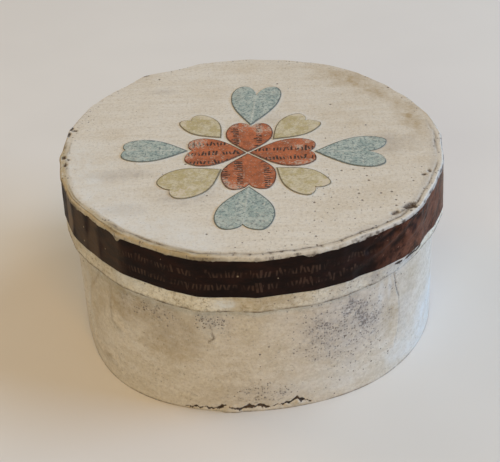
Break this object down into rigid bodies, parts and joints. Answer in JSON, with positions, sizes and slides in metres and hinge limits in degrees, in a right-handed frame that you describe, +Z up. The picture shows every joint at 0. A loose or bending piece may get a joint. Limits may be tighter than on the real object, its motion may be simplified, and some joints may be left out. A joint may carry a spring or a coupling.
{
  "type": "wallpapered box",
  "caption": "Round pasteboard box covered with aged cream paper, with a lift-off lid, a dark paper band and a rosette of cut-paper hearts.",
  "frame": {"origin": "middle of the underside, on the surface that the box stands on", "axes": "+Z up through the lid, -Y towards the viewer of the picture, +X to the viewer's right"},
  "size_m": [0.1211, 0.1212, 0.0602],
  "materials": {
    "cream_paper": "matte",
    "bare_board": "matte",
    "band_paper": "satin",
    "orange_paper": "matte",
    "blue_paper": "matte",
    "yellow_paper": "matte"
  },
  "bodies": {
    "root": {"box_wall": "cream_paper", "box_bottom": "bare_board", "lid_rim": "cream_paper", "lid_top": "cream_paper", "lid_band": "band_paper", "heart_orange_back": "orange_paper", "heart_orange_front": "orange_paper", "heart_orange_left": "orange_paper", "heart_orange_right": "orange_paper", "heart_blue_back": "blue_paper", "heart_blue_front": "blue_paper", "heart_blue_left": "blue_paper", "heart_blue_right": "blue_paper", "heart_yellow_back_left": "yellow_paper", "heart_yellow_back_right": "yellow_paper", "heart_yellow_front_left": "yellow_paper", "heart_yellow_front_right": "yellow_paper"}
  },
  "joints": []
}
